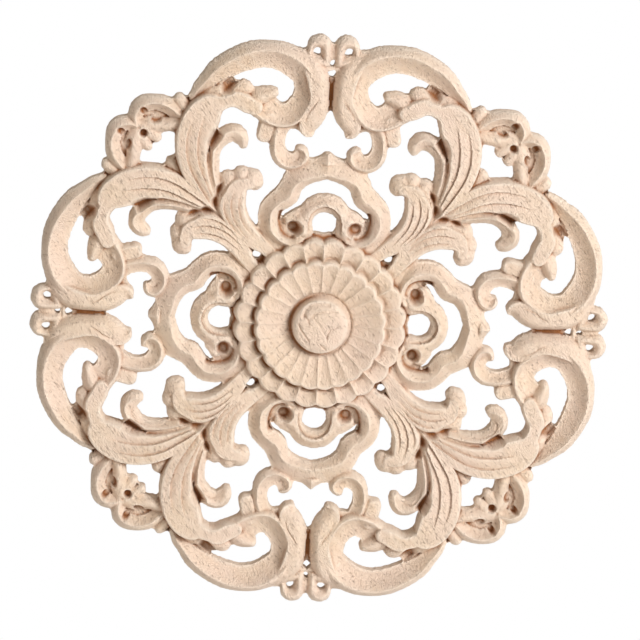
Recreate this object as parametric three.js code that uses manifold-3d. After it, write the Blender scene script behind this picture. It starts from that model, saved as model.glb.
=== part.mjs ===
// A round openwork applique carved from one board. It is drawn flat, z towards the room, then stood
// up with its flat back on the plane y = 0, its front facing -Y and +Z up.
import * as THREE from "three";
import Module from "manifold-3d";
import { mergeVertices } from "three/addons/utils/BufferGeometryUtils.js";

const wasm = await Module();
wasm.setup();
const solidOf = (vertProperties, triVerts) =>
  new wasm.Manifold(new wasm.Mesh({ numProp: 3, vertProperties, triVerts }));

const diameter = 200; // over the pairs of small knobs
const edgeHeight = 4.4; // how far the sawn edge stands above the back
const groundHeight = 3.2; // the sunk ground between the carved members
const pocketHeight = 1.8; // the floor of the deepest pockets
const buttonHeight = 15; // the thickness of the board, left at the middle
const gridStep = 0.9; // the net the carving is measured on
const facets = 1050; // triangles kept in each eighth

const unit = diameter / 200; // the places and widths below are for a diameter of 200 mm

// One eighth of the ornament, between the line straight up and the diagonal to its right.
// Each station is [x, y, half width, height, crest], the crest from -1 (right of the way it runs) to 1.
const members = {
  scroll: {
    kind: "cove", outer: -1, hollow: [1.25, 2.6], bevel: [0.1, 1.4],
    run: [
      [47.3, 76.4, 1.3, 5.6, -0.1],
      [45.4, 79.6, 2.1, 6.8, -0.15],
      [42.6, 82.5, 2.8, 7.8, -0.2],
      [39.3, 86, 3.7, 8.8, -0.28],
      [33.8, 89.3, 4.35, 9.4, -0.36],
      [28.5, 91.6, 4.6, 9.6, -0.4],
      [23, 92.6, 4.6, 9.6, -0.4],
      [17.4, 91.9, 4.8, 9.6, -0.4],
      [12.3, 89.3, 5.1, 9.5, -0.38],
      [8.7, 85.8, 4.8, 9.2, -0.34],
      [8.1, 82, 4.5, 9, -0.34],
      [8.8, 78.4, 4.1, 9, -0.42],
      [10.8, 74.9, 4, 9, -0.56],
      [13.7, 72.1, 4.1, 8.8, -0.66],
      [17.2, 71.5, 4.1, 8.6, -0.68],
      [21.2, 73.1, 4.5, 8.4, -0.66],
      [24.1, 75.4, 4.9, 8, -0.6],
    ],
  },
  tail: {
    kind: "blade", rolls: [3.4, 0.5], foot: 4.6,
    run: [
      [13.8, 93.4, 1.8, 6.2, 0],
      [10.2, 91.9, 2.7, 7.3, 0],
      [7.2, 89.6, 3.5, 8.4, 0],
      [5.5, 86.6, 3.8, 9.1, 0],
      [4.6, 83.2, 3.8, 9.5, 0],
      [4.1, 79, 3.4, 9.5, 0],
      [4.5, 75.2, 3.9, 9.2, 0],
      [6, 71.8, 4.1, 8.6, 0],
      [7.6, 69, 3.3, 7.8, 0],
      [7.5, 67, 2.4, 7, 0],
      [6.5, 65.9, 1.4, 6, 0],
    ],
  },
  tailWeb: { kind: "flat", run: [[0.4, 75.4, 1.4, groundHeight, 0], [0.4, 84.4, 1.4, groundHeight, 0]] },
  bridge: { kind: "ridge", run: [[8.7, 69.4, 2.8, 5.2, 0], [15, 70.6, 2.8, 5.2, 0]] },
  link: {
    kind: "cove", outer: 1, hollow: [1.5, 2.4], bevel: [0.6, 0.6],
    run: [
      [15.6, 69.6, 3, 6.6, 0.3],
      [17.4, 65.4, 2.8, 7.4, 0.3],
      [17.7, 61.6, 2.6, 7.6, 0.35],
      [17, 58.3, 2.85, 7.6, 0.4],
      [14.8, 56, 2.9, 7.6, 0.45],
      [11.5, 55.7, 2.7, 7.4, 0.5],
      [9.1, 57.5, 2.7, 7.2, 0.5],
      [8.9, 59.2, 2, 6.8, 0.4],
      [10, 60, 1.5, 6.2, 0.2],
    ],
  },
  nub: {
    kind: "blade", rolls: [0.9, 0.9], foot: 4.4,
    run: [
      [20.9, 70.4, 2.7, 6.6, 0],
      [22.2, 64.7, 2.75, 6.4, 0],
    ],
  },
  leaf: {
    kind: "blade", rolls: [0.9, 0.9], foot: 4.8,
    run: [
      [36, 35.2, 1.5, 8.2, 0],
      [41.3, 42.9, 3.2, 9, 0],
      [44.75, 49.4, 4.5, 9.4, 0],
      [46.9, 56.7, 5.5, 9.5, 0],
      [46.4, 64, 6.4, 9.5, 0],
      [43.9, 70.3, 6.4, 9.5, 0],
      [41.2, 74.4, 4.6, 9.4, 0],
      [37.4, 75.6, 2.9, 9.3, 0],
      [34.6, 76.8, 2.9, 9.3, 0],
      [31.6, 77, 3.3, 9.2, 0],
      [28.6, 75.4, 3.3, 9, 0],
      [26, 74.4, 3, 8.6, 0],
    ],
  },
  leafRim: {
    kind: "ridge",
    run: [
      [47.4, 68.6, 4, 7.4, 0],
      [44.6, 73.8, 3.6, 7.4, 0],
      [40.6, 77.6, 2.9, 7.2, 0],
      [36.6, 79, 2.4, 6.6, 0],
    ],
  },
  upperLobe: {
    kind: "ridge",
    run: [
      [27, 76.2, 3.2, 7.4, 0],
      [23.6, 78.2, 3, 7.8, 0],
      [19.6, 79.4, 1.7, 7.4, 0],
    ],
  },
  middleLobe: { kind: "ridge", run: [[33.8, 79.4, 2.9, 6.8, 0], [29.8, 80, 3.1, 7, 0]] },
  scrollPocket: { kind: "flat", run: [[36, 82, 3, groundHeight, 0], [41.5, 80.6, 2.2, groundHeight, 0]] },
  hook: {
    kind: "cove", outer: -1, hollow: [0.7, 0.8], bevel: [0.3, 0.3],
    run: [
      [34.3, 36.2, 0.7, 7.6, 0],
      [37.4, 45, 1.3, 8, -0.1],
      [38.9, 51.5, 1.8, 8.4, -0.2],
      [39.1, 57, 2, 8.8, -0.3],
      [38.5, 60, 2.2, 8.8, -0.35],
      [36.6, 62.8, 2.7, 8.8, -0.4],
      [34.1, 64.6, 2.8, 8.4, -0.4],
      [31.8, 64.7, 2.9, 8, -0.35],
      [29.8, 62.8, 2.4, 7.4, -0.2],
      [29.3, 61.2, 1.7, 6.6, 0],
    ],
  },
  stemFill: { kind: "flat", run: [[38, 44, 1.2, 7, 0], [40.6, 51, 1.6, 7.2, 0], [41.6, 57, 1.4, 6.6, 0]] },
  hookWeb: {
    kind: "flat",
    run: [
      [39.6, 57, 2.4, groundHeight, 0],
      [41, 61.4, 2.6, groundHeight, 0],
      [40, 64.4, 2.2, groundHeight, 0],
    ],
  },
  lowLeaf: {
    kind: "blade", rolls: [0.8, 1], foot: 4.6,
    run: [
      [16.8, 22.6, 2.3, 6.8, 0],
      [20, 25.4, 2.6, 7, 0],
      [24.9, 28.7, 3.5, 7.6, 0],
      [29, 32.2, 4.3, 8.2, 0],
      [31.6, 36.6, 4.8, 8.6, 0],
      [32.3, 40.4, 4.8, 8.6, 0],
      [31.4, 43.6, 4, 8.6, 0],
      [30.8, 46, 3.5, 8.5, 0],
      [28.4, 47.6, 2.6, 8.3, 0],
      [26.2, 47.8, 2.2, 8, 0],
    ],
  },
  lowTip: {
    kind: "ridge",
    run: [
      [28.4, 47.6, 2.4, 7.6, 0],
      [25.6, 49.2, 3.5, 7.8, 0],
      [24.4, 48, 2.7, 7.4, 0],
    ],
  },
  lowLobe: { kind: "ridge", run: [[30.8, 47.6, 2.4, 7, 0], [29.2, 50.2, 3, 7.2, 0]] },
  backLobe: { kind: "ridge", run: [[35, 44.4, 2.6, 6.6, 0], [33.6, 48, 3.5, 7.2, 0]] },
  frame: {
    kind: "cove", outer: -1, hollow: [0.8, 1.7], bevel: [0.4, 0.4], mitre: true,
    run: [
      [-1.2, 54.4, 3.8, 8.6, -0.5],
      [3.2, 53.3, 3.9, 8.6, -0.5],
      [7.3, 52.1, 4.1, 8.6, -0.4],
      [10.5, 49.8, 4.1, 8.6, -0.25],
      [12.3, 46.8, 3.7, 8.6, -0.15],
      [13.2, 44.2, 4.1, 8.6, -0.15],
      [16, 42.1, 3.7, 8.6, -0.1],
      [18.6, 39, 3.8, 8.6, -0.05],
      [19.2, 35.2, 3.7, 8.6, -0.05],
      [18.2, 31.5, 3.7, 8.6, 0],
      [15.2, 28.6, 3.3, 8.6, 0],
      [11.4, 27.2, 2.6, 8.6, 0],
      [7.8, 28.6, 2.6, 8, 0],
    ],
  },
  arch: {
    kind: "cove", outer: 1, hollow: [0.6, 0.6], bevel: [0.3, 0.3], mitre: true,
    run: [
      [-0.8, 41.9, 3, 7.6, 0.05],
      [3.4, 41, 3, 7.6, 0.05],
      [6.1, 38.3, 2.8, 7.6, 0.05],
      [7.3, 35.2, 2.9, 7.8, 0],
      [7.4, 31.6, 3.6, 8, 0],
    ],
  },
  archCurl: { kind: "ridge", run: [[7.6, 35.8, 3.1, 7.8, 0], [9.6, 33.6, 3, 8, 0], [9.6, 31, 3, 8, 0]] },
  archSide: { kind: "ridge", run: [[9, 37, 2.4, 6, 0], [12, 35.4, 2, 5.6, 0]] },
  eyeGround: { kind: "flat", run: [[14.2, 34, 2, groundHeight, 0], [14, 31.5, 3, groundHeight, 0]] },
  stem: {
    kind: "blade", rolls: [2, 2], foot: 4.8,
    run: [
      [26, 29.5, 3.4, 7.4, 0],
      [30, 32, 3.8, 8, 0],
      [34.3, 35.6, 3.8, 8.4, 0],
      [38.5, 40.5, 3.4, 8.6, 0],
    ],
  },
  stemWeb: { kind: "flat", run: [[33.5, 44.8, 3.6, groundHeight, 0], [40, 46.6, 3, groundHeight, 0]] },
  cleftWeb: { kind: "flat", run: [[35.5, 36.5, 3, groundHeight, 0], [51, 51, 3, groundHeight, 0]] },
  cleftNub: { kind: "ridge", run: [[49, 49, 3, 6.8, 0], [53.2, 53.2, 2.55, 6.6, 0]] },
  knob: {
    kind: "ridge",
    run: [
      [2.3, 91, 1.6, 6.8, 0],
      [2.2, 94.2, 1.75, 7.2, 0],
      [2.9, 97, 2.15, 7.4, 0],
      [5, 97.8, 2.2, 7.4, 0],
      [7.2, 97, 1.6, 7, 0],
      [8, 94.8, 1, 6.4, 0],
      [8.2, 92.6, 1.3, 6, 0],
    ],
  },
  knobFoot: { kind: "ridge", run: [[8.7, 92.8, 1.7, 6, 0], [12, 92.3, 2.9, 6.6, 0]] },
  knobNeck: { kind: "ridge", run: [[8, 91.4, 1.6, 6.8, 0], [5.4, 91, 2, 7, 0], [2.4, 90.4, 1.7, 6.6, 0]] },
  knobJoin: { kind: "ridge", run: [[-0.4, 94.2, 2.5, 5, 0], [1.8, 93.6, 2, 5.2, 0]] },
  bead: { kind: "ridge", run: [[-0.4, 88.45, 0.7, 5, 0], [3, 88.45, 0.8, 5.4, 0]] },
  shellNub: { kind: "ridge", run: [[50, 73, 2.4, 6.4, 0], [51.9, 75.6, 2, 6.2, 0]] },
  shellArch: {
    kind: "cove", outer: 1, hollow: [1.3, 2], bevel: [0.5, 0.5],
    run: [
      [51, 69.6, 2.6, 7.4, 0.1],
      [55.3, 73, 2.75, 8.2, 0.1],
      [60.2, 74.3, 2.75, 8.6, 0.1],
      [64.7, 72.9, 3, 8.6, 0],
      [66.7, 70, 2.6, 8, 0],
      [66, 66, 2.4, 7, 0],
    ],
  },
  shellPocket: {
    kind: "flat",
    run: [
      [55, 69, 2.4, groundHeight, 0],
      [60, 70.4, 2.6, groundHeight, 0],
      [65, 68.6, 3, groundHeight, 0],
    ],
  },
  shellRim: {
    kind: "ridge",
    run: [
      [51.4, 67.6, 2.8, 7.4, 0],
      [56.4, 66.6, 2.3, 7.2, 0],
      [60.3, 66.6, 3.2, 6.8, 0],
      [63.6, 65.6, 3, 6.6, 0],
    ],
  },
  shellPetal: { kind: "ridge", run: [[61.5, 64, 2.6, 6.4, 0], [58.9, 61.9, 1.6, 5.8, 0]] },
  shellGround: { kind: "flat", run: [[61.8, 61.8, 2.2, groundHeight, 0], [66.6, 66.6, 3.2, groundHeight, 0]] },
  forkWeb: {
    kind: "flat",
    run: [
      [15, 24.6, 2.6, 6.2, 0],
      [19, 27.4, 2.2, 5.8, 0],
      [22.6, 30.6, 1.5, 4.6, 0],
    ],
  },
  crotchWeb: { kind: "flat", run: [[25.4, 25.4, 1.9, groundHeight, 0], [29, 29, 3, groundHeight, 0]] },
  sideWeb: { kind: "flat", run: [[48.2, 74, 2.6, groundHeight, 0], [51.5, 70.6, 3, groundHeight, 0]] },
};

// Height across a member at t, from -1 at its right edge to 1 at its left edge.
const cuts = {
  // a bevel on the outer side of the crest and a hollow on the other, which deepens along the member
  cove: (t, { h, crest, along }, { outer, hollow, bevel }) => {
    const rise = h - edgeHeight;
    if ((t - crest) * outer > 0) {
      const q = (t - crest) / (outer - crest);
      const bend = bevel[0] + (bevel[1] - bevel[0]) * along;
      return edgeHeight + rise * (1 - 0.95 * (q + bend * (q * q - q)));
    }
    const q = Math.min(1, (crest - t) / (crest + outer));
    return edgeHeight + rise * (1 - q) ** (hollow[0] + (hollow[1] - hollow[0]) * along);
  },
  // a flat face with rolled edges
  blade: (t, { w, h }, { rolls, foot }) => {
    const q = Math.min(1, ((1 - Math.abs(t)) * w) / rolls[t < 0 ? 0 : 1]);
    return foot + (h - foot) * (1 - (1 - q) ** 2.2);
  },
  ridge: (t, { h, crest }) => {
    const q = Math.abs(t - crest) / (t > crest ? 1 - crest : 1 + crest);
    return edgeHeight + (h - edgeHeight) * (1 - q ** 1.9);
  },
  flat: (t, { h }) => h,
};

// Points along a member, close enough together to measure from.
function traceMember({ run, ...cut }) {
  const spans = run.length - 1;
  const places = run.map(([x, y]) => new THREE.Vector3(x, y, 0));
  const shapes = run.map(([, , w, h, c]) => new THREE.Vector3(w, h, c));
  const path = new THREE.CatmullRomCurve3(places, false, "centripetal");
  const rest = new THREE.CatmullRomCurve3(shapes, false, "catmullrom", 0.5);
  const trace = [];
  for (let k = 0; k <= spans * 6; k++) {
    const p = path.getPoint(k / (spans * 6));
    const q = rest.getPoint(k / (spans * 6));
    trace.push([p.x, p.y, q.x, q.y, q.z]);
  }
  return { cut, trace, widest: Math.max(...trace.map((s) => s[2])) };
}

// A member and its mirror images, where they reach over the two lines that bound the eighth. A mitred
// member is cut off by the line straight up, where it meets its image.
const traces = Object.values(members).map(traceMember).flatMap(({ cut, trace, widest }) =>
  [
    (x, y) => [x, y],
    (x, y) => [y, x],
    (x, y) => [-x, y],
  ].slice(0, cut.mitre ? 2 : 3).map((mirror, n) => {
    const points = trace.map(([x, y, w, h, c]) => [...mirror(x, y), w, h, c]);
    const xs = points.map((s) => s[0]);
    const ys = points.map((s) => s[1]);
    return {
      cut,
      side: n ? -1 : 1,
      points,
      box: [Math.min(...xs), Math.max(...xs), Math.min(...ys), Math.max(...ys)],
      reach: widest,
    };
  }),
);

// The nearest place on a member, measured in shares of its half width there, or in millimetres if plain.
function across(points, x, y, plain) {
  let best = 1e9;
  let found = null;
  for (let i = 0; i + 1 < points.length; i++) {
    const [ax, ay, aw] = points[i];
    const [bx, by, bw] = points[i + 1];
    const dx = bx - ax;
    const dy = by - ay;
    const f = Math.min(1, Math.max(0, ((x - ax) * dx + (y - ay) * dy) / (dx * dx + dy * dy + 1e-12)));
    const ex = x - ax - f * dx;
    const ey = y - ay - f * dy;
    const q = Math.hypot(ex, ey) / (plain ? 1 : Math.max(0.05, aw + f * (bw - aw)));
    if (q < best) {
      best = q;
      found = [i, f, dx * ey - dy * ex >= 0 ? q : -q];
    }
  }
  const [i, f, t] = found;
  const mix = (n) => points[i][n] + f * (points[i + 1][n] - points[i][n]);
  return { t, w: mix(2), h: mix(3), crest: mix(4), along: (i + f) / (points.length - 1) };
}

// Folds in the leaves and the arch: the wood sinks towards the line on its left and stands up steeply on
// its right. Each station is [x, y, strength].
const folds = {
  leafOuter: {
    rise: 0.5, back: 3, sink: 0.8, front: 2.4,
    run: [
      [37.6, 37.8, 0.9],
      [41.3, 42.4, 1.2],
      [45.2, 48.4, 1.1],
      [47.6, 52.8, 1],
      [49, 58.2, 1],
      [48.9, 63.6, 0.7],
      [47.6, 68.5, 0.3],
      [46.4, 71, 0],
    ],
  },
  leafInner: {
    rise: 0.5, back: 3, sink: 0.8, front: 2.4,
    run: [
      [38.4, 41, 1],
      [42, 48.4, 1],
      [44.4, 54, 1],
      [45.3, 60.7, 1],
      [44.6, 66, 0.7],
      [43.7, 69.8, 0.3],
      [42.9, 72.6, 0],
    ],
  },
  lowInner: {
    rise: 0.4, back: 1.6, sink: 0.7, front: 1.4,
    run: [
      [26.4, 28.6, 0.4],
      [30.6, 33.3, 0.9],
      [32.4, 37.4, 1],
      [32.9, 41, 1],
      [32.2, 44.4, 0.6],
      [31.4, 46.4, 0],
    ],
  },
  lowOuter: {
    rise: 0.4, back: 1.6, sink: 0.7, front: 1.4,
    run: [
      [28.8, 29.6, 0.4],
      [32.6, 33.2, 0.9],
      [34.9, 37.6, 1],
      [35.3, 41, 0.6],
      [34.8, 43, 0],
    ],
  },
  archStep: {
    rise: 0.9, back: 1.4, sink: 0.9, front: 1.3,
    run: [
      [6, 30, 0],
      [5.9, 33, 0.8],
      [5.6, 36.4, 1],
      [4.4, 38.8, 1],
      [2.4, 40.4, 1],
      [0, 41, 1],
      [-1, 40.9, 1],
    ],
  },
};

// Sunk eyes: place, half sizes, turn in degrees and floor height.
const pits = [
  { at: [59.4, 68.8], size: [2.6, 1.5], turn: -15, floor: groundHeight },
  { at: [63.6, 71], size: [1.6, 2], turn: -40, floor: groundHeight },
  { at: [63.6, 63.6], size: [1.7, 1.7], turn: 0, floor: groundHeight },
  { at: [10.6, 57.4], size: [1.7, 1.2], turn: -40, floor: 4.6 },
  { at: [10.8, 32.8], size: [2.3, 2.3], turn: 0, floor: pocketHeight },
];

// Sunk channels: half the width of the floor, steepness of the sides and stations [x, y, floor height].
const channels = [
  {
    flat: 0.9, steep: 4,
    run: [
      [14.8, 37.6, 3],
      [15, 35.4, 3],
      [14.5, 33, 3],
      [13.3, 31, 3.4],
      [11.2, 30.2, 4.2],
    ],
  },
  {
    flat: 0.3, steep: 3,
    run: [
      [35.8, 47.6, 5.4],
      [36.9, 45.3, groundHeight],
      [37.5, 43, 5.4],
      [38.1, 41, 4],
      [37.4, 38.4, 6.2],
      [36, 35.6, 7],
      [34.3, 32.8, 7.2],
    ],
  },
  { flat: 0.3, steep: 3, run: [[40.6, 59.4, 6], [39.9, 61.6, 3.4], [38.4, 64.4, 2.4]] },
  {
    flat: 0.8, steep: 4,
    run: [
      [32.6, 83, 3],
      [34.4, 81.9, pocketHeight],
      [36.6, 80.2, pocketHeight],
      [38, 79, 4.4],
      [39, 78, 7],
    ],
  },
];

// Openings besides those the members leave: place and half sizes.
const openings = [
  { at: [0, 90.6], size: [1.1, 1.15] },
  { at: [0, 86.6], size: [1.1, 1.35] },
  { at: [5.4, 94.5], size: [1.45, 1.5] },
  { at: [0, 33.6], size: [3.6, 2.9] },
];

// The little gable on the frame: rows of [y, half width, height of its ridge].
const gable = [
  [56, 5.3, 8.5],
  [57, 3.6, 7.8],
  [58, 2.1, 7],
  [59, 1.1, 6.2],
  [60.4, 0.2, 5.2],
];

// The rosette: radius, height, depth of the flutes and how far the petals bow out, at each ring.
const petals = 24;
const grooveHeight = 8; // round the button
const petalHeight = 9.7; // where the inner petals start
const innerRimHeight = 13.2;
const outerPetalHeight = 10.9; // between the two rims
const outerRimHeight = 10.6;
const tiers = [
  [6.4, buttonHeight, 0, 0],
  [8.8, buttonHeight - 1.2, 0, 0],
  [9.8, grooveHeight + 0.6, 0, 0],
  [10.8, grooveHeight, 0, 0],
  [11.7, petalHeight, 0.6, 0],
  [14, petalHeight + 0.6, 0.75, 0],
  [21.4, innerRimHeight, 0.5, 0.45],
  [22.2, innerRimHeight - 1, 0.8, 0.5],
  [22.9, outerPetalHeight, 2.7, 0.4],
  [24.6, outerPetalHeight, 1.9, 0.2],
  [27.8, outerRimHeight, 1, 0.5],
  [28.8, outerRimHeight - 1, 1, 0.6],
  [29.6, groundHeight - 0.4, 0, 0.6],
];
function rosette() {
  const rings = tiers.map(([radius, height, flute, bow]) => {
    const ring = [];
    for (let i = 0; i < petals * 2; i++) {
      const middle = i % 2; // the flute runs up the middle of a petal, between two ribs
      const angle = (i * Math.PI) / petals;
      const r = radius + (middle ? bow : -bow);
      ring.push([r * unit * Math.cos(angle), r * unit * Math.sin(angle), height - (middle ? flute : 0)]);
    }
    return ring;
  });
  rings.push(rings[rings.length - 1].map(([x, y]) => [x, y, 0]));
  const count = petals * 2;
  const faces = [];
  for (let i = 0; i + 1 < rings.length; i++)
    for (let j = 0; j < count; j++) {
      const a = i * count + j;
      const b = i * count + ((j + 1) % count);
      faces.push(a, a + count, b, b, a + count, b + count);
    }
  const last = (rings.length - 1) * count;
  for (let j = 1; j + 1 < count; j++) faces.push(0, j, j + 1, last, last + j + 1, last + j);
  return solidOf(new Float32Array(rings.flat(2)), new Uint32Array(faces));
}

const pinHole = { x: 22.75, y: 22.75, r: 1.65 }; // goes right through on each diagonal
const groundRadius = 31.2;

const closeTrace = (run) => traceMember({ run: run.map(([x, y, depth]) => [x, y, depth, 0, 0]) }).trace;
const foldTraces = Object.values(folds).map((fold) => ({ ...fold, trace: closeTrace(fold.run) }));
const channelTraces = channels.map((channel) => ({ ...channel, trace: closeTrace(channel.run) }));

// The gable's half width and ridge height at y.
function gableAt(y) {
  const k = gable.findIndex((row) => row[0] > y);
  if (k < 1) return null;
  const f = (y - gable[k - 1][0]) / (gable[k][0] - gable[k - 1][0]);
  return [1, 2].map((n) => gable[k - 1][n] + f * (gable[k][n] - gable[k - 1][n]));
}

// The members' height, sunk or raised by the folds, pits and channels.
function carve(x, y, height) {
  let carved = height;
  for (const { rise, back, sink, front, trace } of foldTraces) {
    const { t, w: strength, along } = across(trace, x, y, true);
    if (along <= 0 || along >= 1) continue;
    carved += strength * (t < 0 ? rise * Math.max(0, 1 + t / back) : -sink * Math.max(0, 1 - t / front) ** 1.4);
  }
  for (const { at, size, turn, floor } of pits) {
    const c = Math.cos((turn * Math.PI) / 180);
    const s = Math.sin((turn * Math.PI) / 180);
    const u = ((x - at[0]) * c + (y - at[1]) * s) / size[0];
    const v = ((y - at[1]) * c - (x - at[0]) * s) / size[1];
    carved = Math.min(carved, floor + Math.max(0, Math.hypot(u, v) - 0.6) * 9);
  }
  for (const { flat, steep, trace } of channelTraces) {
    const { t, w: floor } = across(trace, x, y, true);
    carved = Math.min(carved, floor + Math.max(0, Math.abs(t) - flat) * steep);
  }
  return Math.max(carved, pocketHeight);
}

// How far inside the outline a point is, and the height of the carving there.
function measure(x, y) {
  let inside = groundRadius - Math.hypot(x, y);
  let height = groundHeight;
  for (const { cut, side, points, box, reach } of traces) {
    if (x < box[0] - reach || x > box[1] + reach || y < box[2] - reach || y > box[3] + reach) continue;
    const place = across(points, x, y);
    inside = Math.max(inside, (1 - Math.abs(place.t)) * place.w);
    if (Math.abs(place.t) > 1.03) continue;
    const t = Math.max(-1, Math.min(1, place.t * side)); // a mirror image turns left and right about
    height = Math.max(height, cuts[cut.kind](t, place, cut));
  }
  const peak = gableAt(y);
  if (peak && x < peak[0]) {
    inside = Math.max(inside, peak[0] - x);
    height = Math.max(height, edgeHeight + (peak[1] - edgeHeight) * (1 - x / peak[0]));
  }
  inside = Math.min(inside, Math.hypot(x - pinHole.x, y - pinHole.y) - pinHole.r);
  for (const { at, size } of openings) {
    const q = Math.hypot((x - at[0]) / size[0], (y - at[1]) / size[1]);
    inside = Math.min(inside, (q - 1) * Math.min(...size));
  }
  return [inside, carve(x, y, height)];
}

// The eighth as a closed skin on a triangular net, open only where it meets its mirror images.
function netEighth() {
  const count = Math.ceil(101 / gridStep);
  const known = new Map();
  const corner = (i, j) => {
    const key = i + "," + j;
    if (!known.has(key)) {
      const [inside, height] = measure(i * gridStep, j * gridStep);
      known.set(key, { key, i, j, inside: Math.abs(inside) < 0.02 ? 0.02 : inside, height });
    }
    return known.get(key);
  };
  const points = [];
  const placed = new Map();
  const add = (key, x, y, z, line) => {
    if (!placed.has(key)) {
      placed.set(key, points.length);
      points.push({ p: [x * unit, y * unit, z], line });
    }
    return placed.get(key);
  };
  const onLine = (a) => (a.i === 0 ? 1 : 0) + (a.i === a.j ? 2 : 0);
  const solidCorner = (a) => {
    return { key: a.key, x: a.i * gridStep, y: a.j * gridStep, z: a.height, line: onLine(a) };
  };
  const crossing = (a, b) => {
    if (a.key > b.key) [a, b] = [b, a];
    const f = a.inside / (a.inside - b.inside);
    const x = (a.i + f * (b.i - a.i)) * gridStep;
    const y = (a.j + f * (b.j - a.j)) * gridStep;
    return { key: a.key + "|" + b.key, x, y, z: measure(x, y)[1], line: onLine(a) & onLine(b) };
  };
  const flat = [];
  for (let i = 0; i < count; i++)
    for (let j = i; j < count; j++) {
      const cells = [[corner(i, j), corner(i + 1, j + 1), corner(i, j + 1)]];
      if (j > i) cells.push([corner(i, j), corner(i + 1, j), corner(i + 1, j + 1)]);
      for (const cell of cells) {
        const loop = [];
        for (let k = 0; k < 3; k++) {
          const a = cell[k];
          const b = cell[(k + 1) % 3];
          if (a.inside > 0) loop.push(solidCorner(a));
          if (a.inside > 0 !== b.inside > 0) loop.push(crossing(a, b));
        }
        for (let k = 1; k + 1 < loop.length; k++) flat.push([loop[0], loop[k], loop[k + 1]]);
      }
    }
  const faces = [];
  const sides = new Map();
  for (const tri of flat) {
    const top = tri.map((v) => add("t" + v.key, v.x, v.y, v.z, v.line));
    const back = tri.map((v) => add("b" + v.key, v.x, v.y, 0, v.line));
    faces.push(top, [back[0], back[2], back[1]]);
    for (let k = 0; k < 3; k++) {
      const a = tri[k];
      const b = tri[(k + 1) % 3];
      const there = b.key + ">" + a.key;
      if (sides.has(there)) sides.delete(there);
      else sides.set(a.key + ">" + b.key, [a, b]);
    }
  }
  for (const [a, b] of sides.values()) {
    if (a.line & b.line) continue; // met by the mirror image
    const at = placed.get("t" + a.key);
    const bt = placed.get("t" + b.key);
    const ab = placed.get("b" + a.key);
    const bb = placed.get("b" + b.key);
    faces.push([at, ab, bb], [at, bb, bt]);
  }
  return { points, faces };
}

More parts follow.
